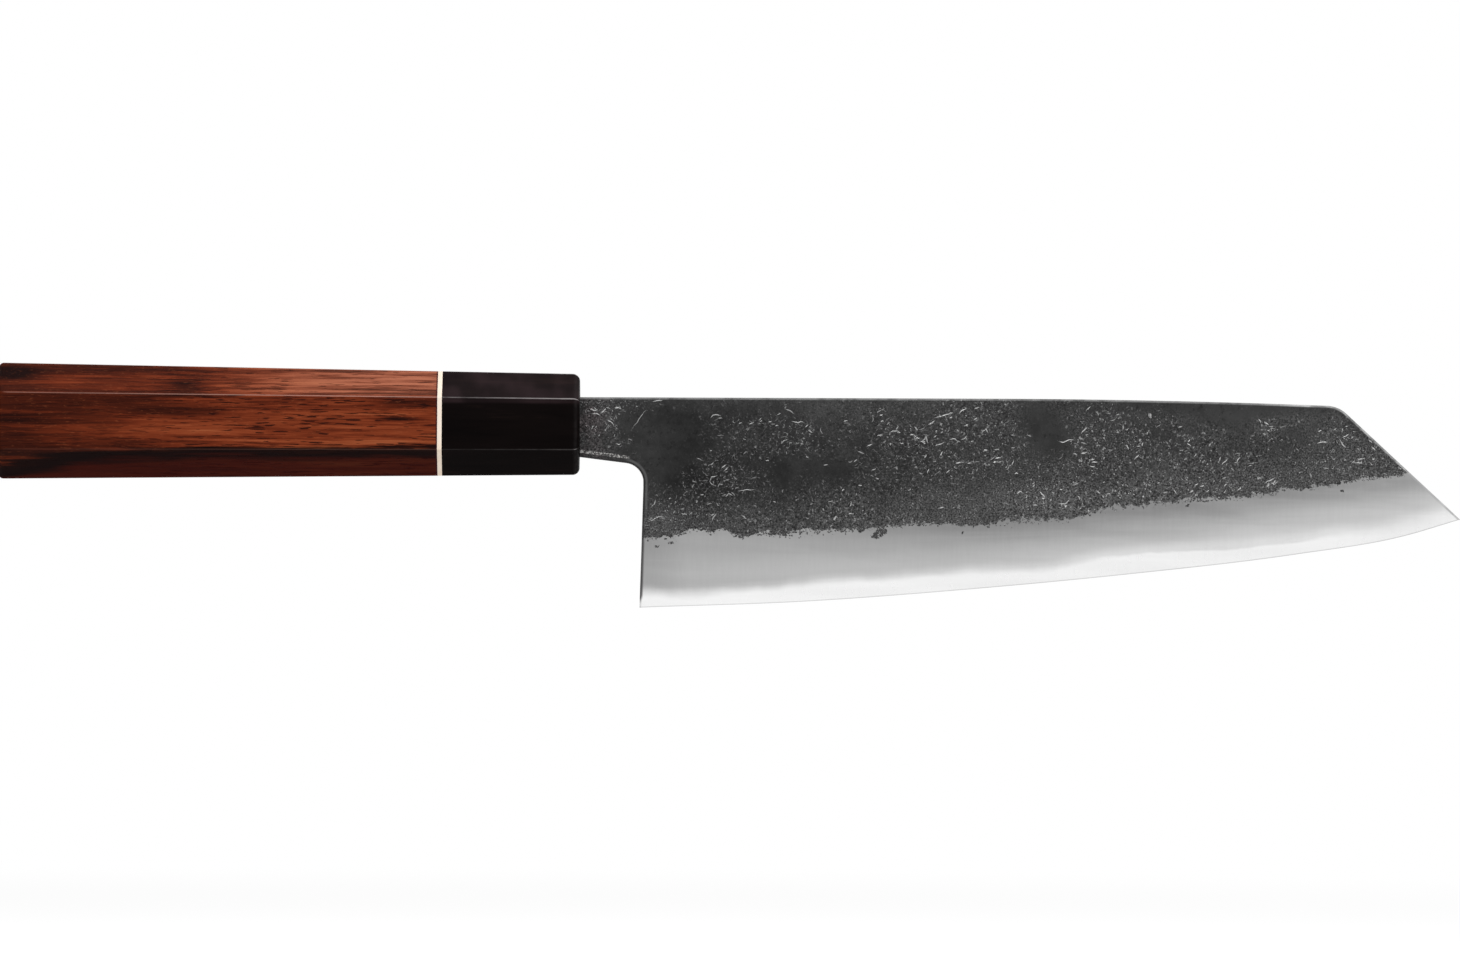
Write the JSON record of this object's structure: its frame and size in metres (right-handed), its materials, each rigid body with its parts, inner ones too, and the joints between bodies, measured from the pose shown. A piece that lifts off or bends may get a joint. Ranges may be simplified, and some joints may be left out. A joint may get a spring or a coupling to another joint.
{
  "type": "kiritsuke kitchen knife",
  "caption": "Kiritsuke kitchen knife with a forge-scaled blade, satin bevel and octagonal rosewood handle with a horn ferrule.",
  "frame": {"origin": "middle of the ferrule's front face, where the blade's neck leaves the handle", "axes": "+X along the handle's axis towards the blade's tip, +Z towards the spine with the edge below, +Y towards the blade's left face"},
  "size_m": [0.3206, 0.0224, 0.0528],
  "materials": {
    "core_steel": "fine satin along the edge, sharpened",
    "forged_iron": "dark forge scale above, satin ground bevel below",
    "rosewood": "polished reddish-brown with dark streaks",
    "pale_spacer": "cream, fine satin",
    "black_horn": "polished near-black horn",
    "pale_wood": "plain, unseen inside the handle",
    "resin": "hard dark resin"
  },
  "bodies": {
    "root": {"core_steel": "core_steel", "cladding_right": "forged_iron", "cladding_left": "forged_iron", "handle_body": "rosewood", "spacer": "pale_spacer", "ferrule": "black_horn", "joining_dowel": "pale_wood", "tang_bedding": "resin"}
  },
  "joints": []
}
